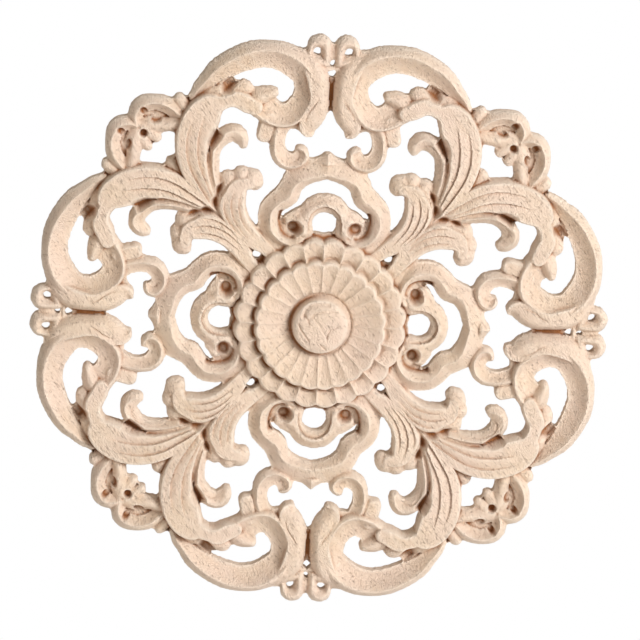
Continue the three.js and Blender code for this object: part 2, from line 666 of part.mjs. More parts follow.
// Drops points where the skin is nearly flat, cheapest first, until the wanted number of faces is left.
function thin({ points, faces }, wanted) {
  const alive = faces.map(() => true);
  const around = points.map(() => new Set());
  faces.forEach((f, n) => f.forEach((v) => around[v].add(n)));
  const planeOf = (a, b, c) => {
    const u = [b[0] - a[0], b[1] - a[1], b[2] - a[2]];
    const v = [c[0] - a[0], c[1] - a[1], c[2] - a[2]];
    const n = [u[1] * v[2] - u[2] * v[1], u[2] * v[0] - u[0] * v[2], u[0] * v[1] - u[1] * v[0]];
    const size = Math.hypot(...n);
    return { n: n.map((q) => q / (size || 1)), size };
  };
  const errors = points.map(() => new Float64Array(10));
  const addPlane = (e, n, d, weight) => {
    const q = [...n, d];
    let k = 0;
    for (let i = 0; i < 4; i++) for (let j = i; j < 4; j++) e[k++] += weight * q[i] * q[j];
  };
  const sideWeights = { 1: [1, 0, 0], 2: [Math.SQRT1_2, -Math.SQRT1_2, 0] };
  for (const f of faces) {
    const [a, b, c] = f.map((v) => points[v].p);
    const { n, size } = planeOf(a, b, c);
    const d = -(n[0] * a[0] + n[1] * a[1] + n[2] * a[2]);
    f.forEach((v) => addPlane(errors[v], n, d, size));
    for (let k = 0; k < 3; k++) {
      const u = points[f[k]];
      const v = points[f[(k + 1) % 3]];
      const line = u.line & v.line;
      if (!line) continue;
      // an edge on a mirror line also holds its own height along that line
      const m = sideWeights[line] || sideWeights[1];
      const e = [v.p[0] - u.p[0], v.p[1] - u.p[1], v.p[2] - u.p[2]];
      const c = [e[1] * m[2] - e[2] * m[1], e[2] * m[0] - e[0] * m[2], e[0] * m[1] - e[1] * m[0]];
      const len = Math.hypot(...c) || 1;
      const g = c.map((q) => q / len);
      const d = -(g[0] * u.p[0] + g[1] * u.p[1] + g[2] * u.p[2]);
      addPlane(errors[f[k]], g, d, len);
      addPlane(errors[f[(k + 1) % 3]], g, d, len);
    }
  }
  const costAt = (e, [x, y, z]) =>
    (e[0] * x + 2 * e[1] * y + 2 * e[2] * z + 2 * e[3]) * x +
    (e[4] * y + 2 * e[5] * z + 2 * e[6]) * y +
    (e[7] * z + 2 * e[8]) * z +
    e[9];
  const gone = points.map(() => false);
  const stamp = points.map(() => 0);
  const heap = [];
  const push = (item) => {
    let i = heap.push(item) - 1;
    while (i > 0) {
      const up = (i - 1) >> 1;
      if (heap[up].cost <= heap[i].cost) break;
      [heap[up], heap[i]] = [heap[i], heap[up]];
      i = up;
    }
  };
  const pull = () => {
    const top = heap[0];
    const last = heap.pop();
    if (heap.length) {
      heap[0] = last;
      let i = 0;
      for (;;) {
        let least = i;
        for (const k of [2 * i + 1, 2 * i + 2]) {
          if (k < heap.length && heap[k].cost < heap[least].cost) least = k;
        }
        if (least === i) break;
        [heap[least], heap[i]] = [heap[i], heap[least]];
        i = least;
      }
    }
    return top;
  };
  const neighbours = (v) => {
    const out = new Set();
    for (const n of around[v]) for (const w of faces[n]) if (w !== v) out.add(w);
    return out;
  };
  const consider = (a, b) => {
    // a goes to where b is
    const la = points[a].line;
    if (la && (points[b].line & la) !== la) return;
    const sum = errors[a].map((q, k) => q + errors[b][k]);
    const [x, y, z] = [0, 1, 2].map((k) => points[a].p[k] - points[b].p[k]);
    const cost = costAt(sum, points[b].p) + 1e-5 * (x * x + y * y + z * z);
    push({ cost, a, b, sa: stamp[a], sb: stamp[b] });
  };
  points.forEach((_, v) => neighbours(v).forEach((w) => consider(v, w)));
  let left = faces.length;
  while (left > wanted && heap.length) {
    const { a, b, sa, sb } = pull();
    if (gone[a] || gone[b] || stamp[a] !== sa || stamp[b] !== sb) continue;
    const shared = [...around[a]].filter((n) => faces[n].includes(b));
    if (!shared.length) continue;
    if (points[a].line && shared.length !== 1) continue;
    const near = neighbours(b);
    if ([...neighbours(a)].filter((v) => near.has(v)).length !== shared.length) continue;
    const bad = [...around[a]].some((n) => {
      if (faces[n].includes(b)) return false;
      const old = faces[n].map((v) => points[v].p);
      const now = faces[n].map((v) => points[v === a ? b : v].p);
      const p = planeOf(...old);
      const q = planeOf(...now);
      return q.size < 1e-3 || p.n[0] * q.n[0] + p.n[1] * q.n[1] + p.n[2] * q.n[2] < 0.35;
    });
    if (bad) continue;
    for (const n of shared) {
      alive[n] = false;
      left--;
      faces[n].forEach((v) => around[v].delete(n));
    }
    for (const n of around[a]) {
      faces[n] = faces[n].map((v) => (v === a ? b : v));
      around[b].add(n);
    }
    around[a].clear();
    gone[a] = true;
    errors[a].forEach((q, k) => (errors[b][k] += q));
    stamp[b]++;
    for (const v of neighbours(b)) {
      consider(b, v);
      consider(v, b);
    }
  }
  return faces.filter((_, n) => alive[n]).map((f) => f.map((v) => points[v].p));
}

// The eighth is laid eight times round, every other one turned over.
function applique() {
  const eighth = thin(netEighth(), facets);
  const corners = [];
  for (let copy = 0; copy < 8; copy++) {
    const c = Math.round(Math.cos((copy >> 1) * (Math.PI / 2)));
    const d = Math.round(Math.sin((copy >> 1) * (Math.PI / 2)));
    for (const face of eighth) {
      const turned = face.map(([x, y, z]) => {
        const [a, b] = copy % 2 ? [y, x] : [x, y];
        return [a * c - b * d, a * d + b * c, z];
      });
      corners.push(...(copy % 2 ? turned.reverse() : turned).flat());
    }
  }
  const carving = new THREE.BufferGeometry();
  carving.setAttribute("position", new THREE.Float32BufferAttribute(corners, 3));
  const net = mergeVertices(carving, 1e-3);
  const ring = solidOf(net.attributes.position.array, new Uint32Array(net.index.array));
  const whole = ring.add(rosette()).getMesh();
  const geometry = new THREE.BufferGeometry();
  geometry.setAttribute("position", new THREE.BufferAttribute(new Float32Array(whole.vertProperties), 3));
  geometry.setIndex(new THREE.BufferAttribute(new Uint32Array(whole.triVerts), 1));
  geometry.rotateX(Math.PI / 2);
  const merged = mergeVertices(geometry, 1e-3);
  merged.computeVertexNormals();
  return merged;
}

const wood = new THREE.MeshStandardMaterial({ color: 0xe4cfb6, roughness: 0.78, metalness: 0 });
const mesh = new THREE.Mesh(applique(), wood);
mesh.name = "applique";

const root = new THREE.Group();
root.add(mesh);
export default root;
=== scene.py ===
import math

import bpy
import numpy as np
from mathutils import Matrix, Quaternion, Vector


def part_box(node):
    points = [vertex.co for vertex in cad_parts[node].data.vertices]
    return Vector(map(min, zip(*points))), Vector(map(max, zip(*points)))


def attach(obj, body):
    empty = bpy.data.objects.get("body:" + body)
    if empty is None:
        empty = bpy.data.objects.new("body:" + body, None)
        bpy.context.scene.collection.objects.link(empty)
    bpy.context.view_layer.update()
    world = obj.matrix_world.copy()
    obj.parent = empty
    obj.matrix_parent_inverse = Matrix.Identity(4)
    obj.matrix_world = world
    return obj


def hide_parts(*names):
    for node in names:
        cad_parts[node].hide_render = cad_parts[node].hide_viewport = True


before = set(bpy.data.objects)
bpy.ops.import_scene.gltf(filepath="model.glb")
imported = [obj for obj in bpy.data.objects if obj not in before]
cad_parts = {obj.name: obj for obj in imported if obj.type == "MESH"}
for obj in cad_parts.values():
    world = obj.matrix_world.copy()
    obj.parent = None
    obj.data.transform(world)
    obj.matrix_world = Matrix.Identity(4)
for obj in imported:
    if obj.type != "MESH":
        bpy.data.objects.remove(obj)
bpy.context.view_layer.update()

scene = bpy.context.scene

# The board and the cutter. Lengths on the drawing are millimetres for an ornament 200 mm across.
board = {
    "across": 200,
    "thick": 15,
    "edge": 4.4,  # height of the sawn edge above the back
    "ground": 3.2,  # sunk ground between the strokes
    "step": 0.3,  # spacing of the grid that is carved
    "gridHalf": 101,  # half the width of that grid
    "gridRound": 104,  # radius that the carving stays within
    "deepest": 1.6,  # floor of the lowest pocket
    "outlineEasing": 8,  # passes that ease the drawn outline
    "tear": 0.25,  # raggedness of the sawn outline
    "ripple": 0.08,  # unevenness that the cutter leaves
    "triangles": 188000,
    "crease": 48,  # degrees from which an edge stays sharp
}

# One eighth of the ornament, from the line straight up to the diagonal on its right. Each stroke runs
# through stations [x, y, half width, height, crest], with the crest from -1 at its right edge to 1 at its
# left. A stroke with a mitre meets its mirror image on the upright line in a crease.
strokes = {
    "scroll": {"cut": "cove", "outer": -1, "hollow": [1.25, 2.6], "bevel": [0.1, 1.4], "run": [
        [47.3, 76.4, 1.3, 5.6, -0.1],
        [45.4, 79.6, 2.1, 6.8, -0.15],
        [42.6, 82.5, 2.8, 7.8, -0.2],
        [39.3, 86, 3.7, 8.8, -0.28],
        [33.8, 89.3, 4.35, 9.4, -0.36],
        [28.5, 91.6, 4.6, 9.6, -0.4],
        [23, 92.6, 4.6, 9.6, -0.4],
        [17.4, 91.9, 4.8, 9.6, -0.4],
        [12.3, 89.3, 5.1, 9.5, -0.38],
        [8.7, 85.8, 4.8, 9.2, -0.34],
        [8.1, 82, 4.5, 9, -0.34],
        [8.8, 78.4, 4.1, 9, -0.42],
        [10.8, 74.9, 4, 9, -0.56],
        [13.7, 72.1, 4.1, 8.8, -0.66],
        [17.2, 71.5, 4.1, 8.6, -0.68],
        [21.2, 73.1, 4.5, 8.4, -0.66],
        [24.1, 75.4, 4.9, 8, -0.6]]},
    "tail": {"cut": "blade", "rolls": [3.4, 0.5], "foot": 4.6, "run": [
        [13.8, 93.4, 1.8, 6.2, 0],
        [10.2, 91.9, 2.7, 7.3, 0],
        [7.2, 89.6, 3.5, 8.4, 0],
        [5.5, 86.6, 3.8, 9.1, 0],
        [4.6, 83.2, 3.8, 9.5, 0],
        [4.1, 79, 3.4, 9.5, 0],
        [4.5, 75.2, 3.9, 9.2, 0],
        [6, 71.8, 4.1, 8.6, 0],
        [7.6, 69, 3.3, 7.8, 0],
        [7.5, 67, 2.4, 7, 0],
        [6.5, 65.9, 1.4, 6, 0]]},
    "tailWeb": {"cut": "flat", "run": [[0.4, 75.4, 1.4, 3.4, 0], [0.4, 84.4, 1.4, 3.4, 0]]},
    "bridge": {"cut": "ridge", "run": [[8.7, 69.4, 2.8, 5.2, 0], [15, 70.6, 2.8, 5.2, 0]]},
    "link": {"cut": "cove", "outer": 1, "hollow": [1.5, 2.4], "bevel": [0.6, 0.6], "run": [
        [15.6, 69.6, 3, 6.6, 0.3],
        [17.4, 65.4, 2.8, 7.4, 0.3],
        [17.7, 61.6, 2.6, 7.6, 0.35],
        [17, 58.3, 2.85, 7.6, 0.4],
        [14.8, 56, 2.9, 7.6, 0.45],
        [11.5, 55.7, 2.7, 7.4, 0.5],
        [9.1, 57.5, 2.7, 7.2, 0.5],
        [8.9, 59.2, 2, 6.8, 0.4],
        [10, 60, 1.5, 6.2, 0.2]]},
    "nub": {"cut": "blade", "rolls": [0.9, 0.9], "foot": 4.4, "run": [
        [20.9, 70.4, 2.7, 6.6, 0], [22.2, 64.7, 2.75, 6.4, 0]]},
    "leaf": {"cut": "blade", "rolls": [0.9, 0.9], "foot": 4.8, "run": [
        [36, 35.2, 1.5, 8.2, 0],
        [41.3, 42.9, 3.2, 9, 0],
        [44.75, 49.4, 4.5, 9.4, 0],
        [46.9, 56.7, 5.5, 9.5, 0],
        [46.4, 64, 6.4, 9.5, 0],
        [43.9, 70.3, 6.4, 9.5, 0],
        [41.2, 74.4, 4.6, 9.4, 0],
        [37.4, 75.6, 2.9, 9.3, 0],
        [34.6, 76.8, 2.9, 9.3, 0],
        [31.6, 77, 3.3, 9.2, 0],
        [28.6, 75.4, 3.3, 9, 0],
        [26, 74.4, 3, 8.6, 0]]},
    "leafRim": {"cut": "ridge", "run": [
        [47.4, 68.6, 4, 7.4, 0], [44.6, 73.8, 3.6, 7.4, 0], [40.6, 77.6, 2.9, 7.2, 0],
        [36.6, 79, 2.4, 6.6, 0]]},
    "upperLobe": {"cut": "ridge", "run": [
        [27, 76.2, 3.2, 7.4, 0], [23.6, 78.2, 3, 7.8, 0], [19.6, 79.4, 1.7, 7.4, 0]]},
    "middleLobe": {"cut": "ridge", "run": [[33.8, 79.4, 2.9, 6.8, 0], [29.8, 80, 3.1, 7, 0]]},
    "scrollPocket": {"cut": "flat", "run": [[36, 82, 3, 3.2, 0], [41.5, 80.6, 2.2, 3.2, 0]]},
    "hook": {"cut": "cove", "outer": -1, "hollow": [0.7, 0.8], "bevel": [0.3, 0.3], "run": [
        [34.3, 36.2, 0.7, 7.6, 0],
        [37.4, 45, 1.3, 8, -0.1],
        [38.9, 51.5, 1.8, 8.4, -0.2],
        [39.1, 57, 2, 8.8, -0.3],
        [38.5, 60, 2.2, 8.8, -0.35],
        [36.6, 62.8, 2.7, 8.8, -0.4],
        [34.1, 64.6, 2.8, 8.4, -0.4],
        [31.8, 64.7, 2.9, 8, -0.35],
        [29.8, 62.8, 2.4, 7.4, -0.2],
        [29.3, 61.2, 1.7, 6.6, 0]]},
    "stemFill": {"cut": "flat", "run": [
        [38, 44, 1.2, 7, 0], [40.6, 51, 1.6, 7.2, 0], [41.6, 57, 1.4, 6.6, 0]]},
    "hookWeb": {"cut": "flat", "run": [
        [39.6, 57, 2.4, 3.2, 0], [41, 61.4, 2.6, 3.2, 0], [40, 64.4, 2.2, 3.2, 0]]},
    "lowLeaf": {"cut": "blade", "rolls": [0.8, 1], "foot": 4.6, "run": [
        [16.8, 22.6, 2.3, 6.8, 0],
        [20, 25.4, 2.6, 7, 0],
        [24.9, 28.7, 3.5, 7.6, 0],
        [29, 32.2, 4.3, 8.2, 0],
        [31.6, 36.6, 4.8, 8.6, 0],
        [32.3, 40.4, 4.8, 8.6, 0],
        [31.4, 43.6, 4, 8.6, 0],
        [30.8, 46, 3.5, 8.5, 0],
        [28.4, 47.6, 2.6, 8.3, 0],
        [26.2, 47.8, 2.2, 8, 0]]},
    "lowTip": {"cut": "ridge", "run": [
        [28.4, 47.6, 2.4, 7.6, 0], [25.6, 49.2, 3.5, 7.8, 0], [24.4, 48, 2.7, 7.4, 0]]},
    "lowLobe": {"cut": "ridge", "run": [[30.8, 47.6, 2.4, 7, 0], [29.2, 50.2, 3, 7.2, 0]]},
    "backLobe": {"cut": "ridge", "run": [[35, 44.4, 2.6, 6.6, 0], [33.6, 48, 3.5, 7.2, 0]]},
    "frame": {"cut": "cove", "outer": -1, "hollow": [0.8, 1.7], "bevel": [0.4, 0.4], "mitre": True, "run": [
        [-1.2, 54.4, 3.8, 8.6, -0.5],
        [3.2, 53.3, 3.9, 8.6, -0.5],
        [7.3, 52.1, 4.1, 8.6, -0.4],
        [10.5, 49.8, 4.1, 8.6, -0.25],
        [12.3, 46.8, 3.7, 8.6, -0.15],
        [13.2, 44.2, 4.1, 8.6, -0.15],
        [16, 42.1, 3.7, 8.6, -0.1],
        [18.6, 39, 3.8, 8.6, -0.05],
        [19.2, 35.2, 3.7, 8.6, -0.05],
        [18.2, 31.5, 3.7, 8.6, 0],
        [15.2, 28.6, 3.3, 8.6, 0],
        [11.4, 27.2, 2.6, 8.6, 0],
        [7.8, 28.6, 2.6, 8, 0]]},
    "arch": {"cut": "cove", "outer": 1, "hollow": [0.6, 0.6], "bevel": [0.3, 0.3], "mitre": True, "run": [
        [-0.8, 41.9, 3, 7.6, 0.05],
        [3.4, 41, 3, 7.6, 0.05],
        [6.1, 38.3, 2.8, 7.6, 0.05],
        [7.3, 35.2, 2.9, 7.8, 0],
        [7.4, 31.6, 3.6, 8, 0]]},
    "archCurl": {"cut": "ridge", "run": [
        [7.6, 35.8, 3.1, 7.8, 0], [9.6, 33.6, 3, 8, 0], [9.6, 31, 3, 8, 0]]},
    "archSide": {"cut": "ridge", "run": [[9, 37, 2.4, 6, 0], [12, 35.4, 2, 5.6, 0]]},
    "eyeGround": {"cut": "flat", "run": [[14.2, 34, 2, 3.2, 0], [14, 31.5, 3, 3.2, 0]]},
    "stem": {"cut": "blade", "rolls": [2, 2], "foot": 4.8, "run": [
        [26, 29.5, 3.4, 7.4, 0], [30, 32, 3.8, 8, 0], [34.3, 35.6, 3.8, 8.4, 0],
        [38.5, 40.5, 3.4, 8.6, 0]]},
    "stemWeb": {"cut": "flat", "run": [[33.5, 44.8, 3.6, 3.2, 0], [40, 46.6, 3, 3.2, 0]]},
    "cleftWeb": {"cut": "flat", "run": [[35.5, 36.5, 3, 3.2, 0], [51, 51, 3, 3.2, 0]]},
    "cleftNub": {"cut": "ridge", "run": [[49, 49, 3, 6.8, 0], [53.2, 53.2, 2.55, 6.6, 0]]},
    "knob": {"cut": "ridge", "run": [
        [2.3, 91, 1.6, 6.8, 0],
        [2.2, 94.2, 1.75, 7.2, 0],
        [2.9, 97, 2.15, 7.4, 0],
        [5, 97.8, 2.2, 7.4, 0],
        [7.2, 97, 1.6, 7, 0],
        [8, 94.8, 1, 6.4, 0],
        [8.2, 92.6, 1.3, 6, 0]]},
    "knobFoot": {"cut": "ridge", "run": [[8.7, 92.8, 1.7, 6, 0], [12, 92.3, 2.9, 6.6, 0]]},
    "knobNeck": {"cut": "ridge", "run": [
        [8, 91.4, 1.6, 6.8, 0], [5.4, 91, 2, 7, 0], [2.4, 90.4, 1.7, 6.6, 0]]},
    "knobJoin": {"cut": "ridge", "run": [[-0.4, 94.2, 2.5, 5, 0], [1.8, 93.6, 2, 5.2, 0]]},
    "bead": {"cut": "ridge", "run": [[-0.4, 88.45, 0.7, 5, 0], [3, 88.45, 0.8, 5.4, 0]]},
    "shellNub": {"cut": "ridge", "run": [[50, 73, 2.4, 6.4, 0], [51.9, 75.6, 2, 6.2, 0]]},
    "shellArch": {"cut": "cove", "outer": 1, "hollow": [1.3, 2], "bevel": [0.5, 0.5], "run": [
        [51, 69.6, 2.6, 7.4, 0.1],
        [55.3, 73, 2.75, 8.2, 0.1],
        [60.2, 74.3, 2.75, 8.6, 0.1],
        [64.7, 72.9, 3, 8.6, 0],
        [66.7, 70, 2.6, 8, 0],
        [66, 66, 2.4, 7, 0]]},
    "shellPocket": {"cut": "flat", "run": [
        [55, 69, 2.4, 3.2, 0], [60, 70.4, 2.6, 3.2, 0], [65, 68.6, 3, 3.2, 0]]},
    "shellRim": {"cut": "ridge", "run": [
        [51.4, 67.6, 2.8, 7.4, 0],
        [56.4, 66.6, 2.3, 7.2, 0],
        [60.3, 66.6, 3.2, 6.8, 0],
        [63.6, 65.6, 3, 6.6, 0]]},
    "shellPetal": {"cut": "ridge", "run": [[61.5, 64, 2.6, 6.4, 0], [58.9, 61.9, 1.6, 5.8, 0]]},
    "shellGround": {"cut": "flat", "run": [[61.8, 61.8, 2.2, 3.2, 0], [66.6, 66.6, 3.2, 3.2, 0]]},
    "forkWeb": {"cut": "flat", "run": [
        [15, 24.6, 2.6, 6.2, 0], [19, 27.4, 2.2, 5.8, 0], [22.6, 30.6, 1.5, 4.6, 0]]},
    "crotchWeb": {"cut": "flat", "run": [[25.4, 25.4, 1.9, 3.2, 0], [29, 29, 3, 3.2, 0]]},
    "sideWeb": {"cut": "flat", "run": [[48.2, 74, 2.6, 3.2, 0], [51.5, 70.6, 3, 3.2, 0]]},
}


# A smooth curve through the stations, cut into short chords.
def smoothRun(run, pieces=7):
    p = np.array(run, float)
    p = np.vstack([2 * p[0] - p[1], p, 2 * p[-1] - p[-2]])
    out = []
    for i in range(1, len(p) - 2):
        a, b, c, d = p[i - 1:i + 3]
        knots = [0.0]
        for u, v in ((a, b), (b, c), (c, d)):
            knots.append(knots[-1] + max(1e-4, np.linalg.norm((v - u)[:2])) ** 0.5)
        t0, t1, t2, t3 = knots
        t = np.linspace(t1, t2, pieces, endpoint=False)[:, None]
        a1 = ((t1 - t) * a + (t - t0) * b) / (t1 - t0)
        a2 = ((t2 - t) * b + (t - t1) * c) / (t2 - t1)
        a3 = ((t3 - t) * c + (t - t2) * d) / (t3 - t2)
        b1 = ((t2 - t) * a1 + (t - t0) * a2) / (t2 - t0)
        b2 = ((t3 - t) * a2 + (t - t1) * a3) / (t3 - t1)
        out.append(((t2 - t) * b1 + (t - t1) * b2) / (t2 - t1))
    out = np.vstack(out + [p[-2:-1]])
    for _ in range(6):  # eases the joins between the spans
        out[1:-1] = (out[:-2] + 2 * out[1:-1] + out[2:]) / 4
    return out


# For each point, the nearest place on a run, in shares of the half width there, or in millimetres if plain.
def nearest(run, x, y, plain=False):
    a, d = run[:-1], np.diff(run, axis=0)
    length = np.hypot(d[:, 0], d[:, 1])
    start = np.concatenate([[0], np.cumsum(length)])
    best = np.full(x.shape, 1e9)
    which = np.zeros(x.shape, int)
    share = np.zeros(x.shape)
    side = np.ones(x.shape)
    for i in range(len(a)):
        f = ((x - a[i, 0]) * d[i, 0] + (y - a[i, 1]) * d[i, 1]) / (length[i] ** 2 + 1e-12)
        f = np.clip(f, 0, 1)
        ex = x - a[i, 0] - f * d[i, 0]
        ey = y - a[i, 1] - f * d[i, 1]
        q = np.hypot(ex, ey)
        if not plain:
            q = q / np.maximum(0.05, a[i, 2] + f * d[i, 2])
        closer = q < best
        best[closer] = q[closer]
        which[closer] = i
        share[closer] = f[closer]
        side[closer] = np.where(d[i, 0] * ey - d[i, 1] * ex >= 0, 1, -1)[closer]
    row = a[which] + share[..., None] * d[which]
    along = start[which] + share * length[which]
    return {"t": best * side, "row": row, "along": along, "whole": start[-1]}


# How far a cove's back falls, and how round blades and ridges are.
profiles = {"coveDrop": 0.95, "bladeRoll": 2.2, "ridgeRoll": 1.9}


# Height across a stroke at t, from -1 at its right edge to 1 at its left, w being half its width there.
def coveCut(t, w, h, crest, share, stroke):
    out = stroke["outer"]
    edge = board["edge"]
    beyond = (t - crest) * out > 0
    q = np.clip(np.where(beyond, (t - crest) / (out - crest), (crest - t) / (crest + out)), 0, 1)
    start, end = stroke["bevel"]
    bevel = q + (start + (end - start) * share) * (q * q - q)
    start, end = stroke["hollow"]
    hollow = start + (end - start) * share
    return edge + (h - edge) * np.where(beyond, 1 - bevel * profiles["coveDrop"], (1 - q) ** hollow)


def bladeCut(t, w, h, crest, share, stroke):
    right, left = stroke["rolls"]
    q = np.clip((1 - np.abs(t)) * w / np.where(t < 0, right, left), 0, 1)
    foot = stroke["foot"]
    return foot + (h - foot) * (1 - (1 - q) ** profiles["bladeRoll"])


def ridgeCut(t, w, h, crest, share, stroke):
    q = np.abs(t - crest) / np.where(t > crest, 1 - crest, 1 + crest)
    return board["edge"] + (h - board["edge"]) * (1 - np.clip(q, 0, 1) ** profiles["ridgeRoll"])


def flatCut(t, w, h, crest, share, stroke):
    return h


cuts = {"cove": coveCut, "blade": bladeCut, "ridge": ridgeCut, "flat": flatCut}

foldCurve = 1.4  # how hollow the wood runs down to a line

# Folds in the leaves: the wood sinks towards the line on its left and stands up steeply on its right.
# Each station is [x, y, strength].
folds = {
    "leafOuter": {"rise": 0.5, "back": 3, "sink": 0.8, "front": 2.4, "run": [
        [37.6, 37.8, 0.9], [41.3, 42.4, 1.2], [45.2, 48.4, 1.1], [47.6, 52.8, 1], [49, 58.2, 1],
        [48.9, 63.6, 0.7], [47.6, 68.5, 0.3], [46.4, 71, 0]]},
    "leafInner": {"rise": 0.5, "back": 3, "sink": 0.8, "front": 2.4, "run": [
        [38.4, 41, 1], [42, 48.4, 1], [44.4, 54, 1], [45.3, 60.7, 1], [44.6, 66, 0.7],
        [43.7, 69.8, 0.3], [42.9, 72.6, 0]]},
    "hookLine": {"rise": 0.2, "back": 1, "sink": 0.6, "front": 0.7, "run": [
        [38.4, 50, 0], [39, 55.4, 0.8], [38.2, 60, 1], [36.4, 62.8, 1], [34.4, 63.8, 1],
        [32.6, 63.4, 0.8], [31, 61.8, 0]]},
    "lowInner": {"rise": 0.4, "back": 1.6, "sink": 0.7, "front": 1.4, "run": [
        [26.4, 28.6, 0.4], [30.6, 33.3, 0.9], [32.4, 37.4, 1], [32.9, 41, 1], [32.2, 44.4, 0.6],
        [31.4, 46.4, 0]]},
    "lowOuter": {"rise": 0.4, "back": 1.6, "sink": 0.7, "front": 1.4, "run": [
        [28.8, 29.6, 0.4], [32.6, 33.2, 0.9], [34.9, 37.6, 1], [35.3, 41, 0.6], [34.8, 43, 0]]},
    "lowThird": {"rise": 0.4, "back": 1.6, "sink": 0.7, "front": 1.4, "run": [
        [24, 28.6, 0.3], [28.2, 33.6, 0.8], [29.8, 37.6, 1], [30.2, 41.4, 0.8], [29.6, 45, 0]]},
    "tailLine": {"rise": 0, "back": 1, "sink": 0.7, "front": 0.7, "run": [
        [3.9, 79.6, 0], [4.8, 77.1, 1], [7.2, 73.8, 1], [8.2, 71, 0.6], [8.4, 69, 0]]},
    "archStep": {"rise": 0.9, "back": 1.4, "sink": 0.9, "front": 1.3, "run": [
        [6, 30, 0], [5.9, 33, 0.8], [5.6, 36.4, 1], [4.4, 38.8, 1], [2.4, 40.4, 1], [0, 41, 1],
        [-1, 40.9, 1]]},
}

# Sunk eyes and pockets: place, half sizes, turn in degrees and floor height. Their floor is flat over a
# share of their size.
pitFlat = 0.6
pitSteep = 9
pits = [
    {"at": [59.4, 68.8], "size": [2.6, 1.5], "turn": -15, "floor": 3.2},
    {"at": [63.6, 71], "size": [1.6, 2], "turn": -40, "floor": 3.2},
    {"at": [63.6, 63.6], "size": [1.7, 1.7], "turn": 0, "floor": 3.2},
    {"at": [10.6, 57.4], "size": [1.7, 1.2], "turn": -40, "floor": 4.6},
    {"at": [10.8, 32.8], "size": [2.7, 2.5], "turn": 0, "floor": 1.6},
]

# Sunk channels: half the width of the floor, steepness of the sides, and stations [x, y, floor height].
channels = [
    {"flat": 0.9, "steep": 4, "run": [
        [14.8, 37.6, 3], [15, 35.4, 3], [14.5, 33, 3], [13.3, 31, 3.4], [11.2, 30.2, 4.2]]},
    {"flat": 0.3, "steep": 3, "run": [
        [35.8, 47.6, 5.4], [36.9, 45.3, 3.2], [37.5, 43, 5.4], [38.1, 41, 4], [37.4, 38.4, 6.2],
        [36, 35.6, 7], [34.3, 32.8, 7.2]]},
    {"flat": 0.3, "steep": 3, "run": [[40.6, 59.4, 6], [39.9, 61.6, 3.4], [38.4, 64.4, 2.4]]},
    {"flat": 1.1, "steep": 4, "run": [
        [33, 83.5, 3], [34.7, 82.2, 1.8], [36.4, 80.9, 1.8], [37.4, 80, 4.4], [38.2, 79.3, 7]]},
]

# The little gable on the frame: rows of [y, half width, height of its ridge].
gable = [[55.2, 6.1, 7.6], [56.2, 5.1, 8.3], [57, 3.6, 7.8], [58, 2.1, 7], [59, 1.1, 6.2], [60.4, 0.2, 5.2]]

# Openings besides those the strokes leave: place and half sizes.
openings = [
    {"at": [0, 90.6], "size": [1.1, 1.15]},
    {"at": [0, 86.6], "size": [1.1, 1.35]},
    {"at": [5.4, 94.5], "size": [1.45, 1.5]},
    {"at": [0, 33.6], "size": [3.6, 2.9]},
]
# The round hole on the diagonal, against the rosette.
pinHole = {"at": [22.75, 22.75], "radius": 1.65}

rosette = {
    "groundRadius": 31.2,
    "radius": 30.4,
    "petals": 24,
    "tiers": [  # radius, height, depth of the flutes, how far the petals bow out
        [0, 14.9, 0, 0],
        [6, 14.8, 0, 0],
        [8, 14.3, 0, 0],
        [8.9, 13.7, 0, 0],
        [9.4, 12.8, 0, 0],
        [9.9, 8.2, 0, 0],
        [10.8, 8, 0, 0],
        [11.2, 9, 0.3, 0],
        [11.7, 9.7, 0.6, 0],
        [14, 10.3, 0.75, 0],
        [17.4, 11.6, 0.75, 0],
        [20, 12.7, 0.65, 0.1],
        [21.4, 13.2, 0.45, 0.45],
        [22, 12.8, 0.5, 0.5],
        [22.3, 12, 1.2, 0.5],
        [22.7, 10.9, 2.9, 0.45],
        [23.3, 10.8, 2.9, 0.3],
        [24.1, 11, 2.1, 0.2],
        [25.4, 11, 1.7, 0.1],
        [26.8, 10.9, 1.3, 0.3],
        [27.9, 10.7, 1, 0.5],
        [28.6, 10.2, 0.8, 0.7],
        [29.2, 8.4, 1, 0.7],
        [29.6, 3.2, 0, 0.7]],
    # the filling of the groove round the button: the floor and rise of its top, the share of the round
    # that it takes beyond the right half, its direction in radians, and how steeply it falls away
    "groove": {
        "radius": 9.6, "outer": 13, "floor": 8, "rise": 3, "share": 0.35, "towards": 0.4, "slope": 2.4},
    # strokes of the little bud on the button: depth, width and stations
    "budStrokes": [
        [0.75, 0.4, [[-7.6, 0.9], [-6.9, -0.9], [-6, -2], [-4.9, -3.6], [-3.7, -5]]],
        [0.75, 0.5, [[-5.6, 4], [-4.6, 2.6], [-3.9, 1]]],
        [0.675, 0.4, [[2.3, -4], [2.5, -2.6], [3.3, -1]]],
        [0.75, 0.45, [[0.3, -6.2], [1.2, -7], [2.2, -7.8]]],
        [1.05, 1.1, [[-6, 3.6], [-5.4, 5.8], [-3.4, 7.4], [0, 8], [2.6, 7.8]]],
        [0.6, 0.7, [[-4, 2.6], [-1.6, 4.8], [1.6, 5.6], [5, 5.2]]],
        [0.45, 0.45, [[3.4, -0.6], [5, -0.2], [6.4, 1.2]]],
        [0.45, 0.45, [[-2.6, 3], [-0.6, 1], [0.6, -1], [2.3, -3.6]]],
        [0.375, 0.5, [[-7.2, -2.6], [-5.8, -4.8], [-3.4, -6.8]]]],
}


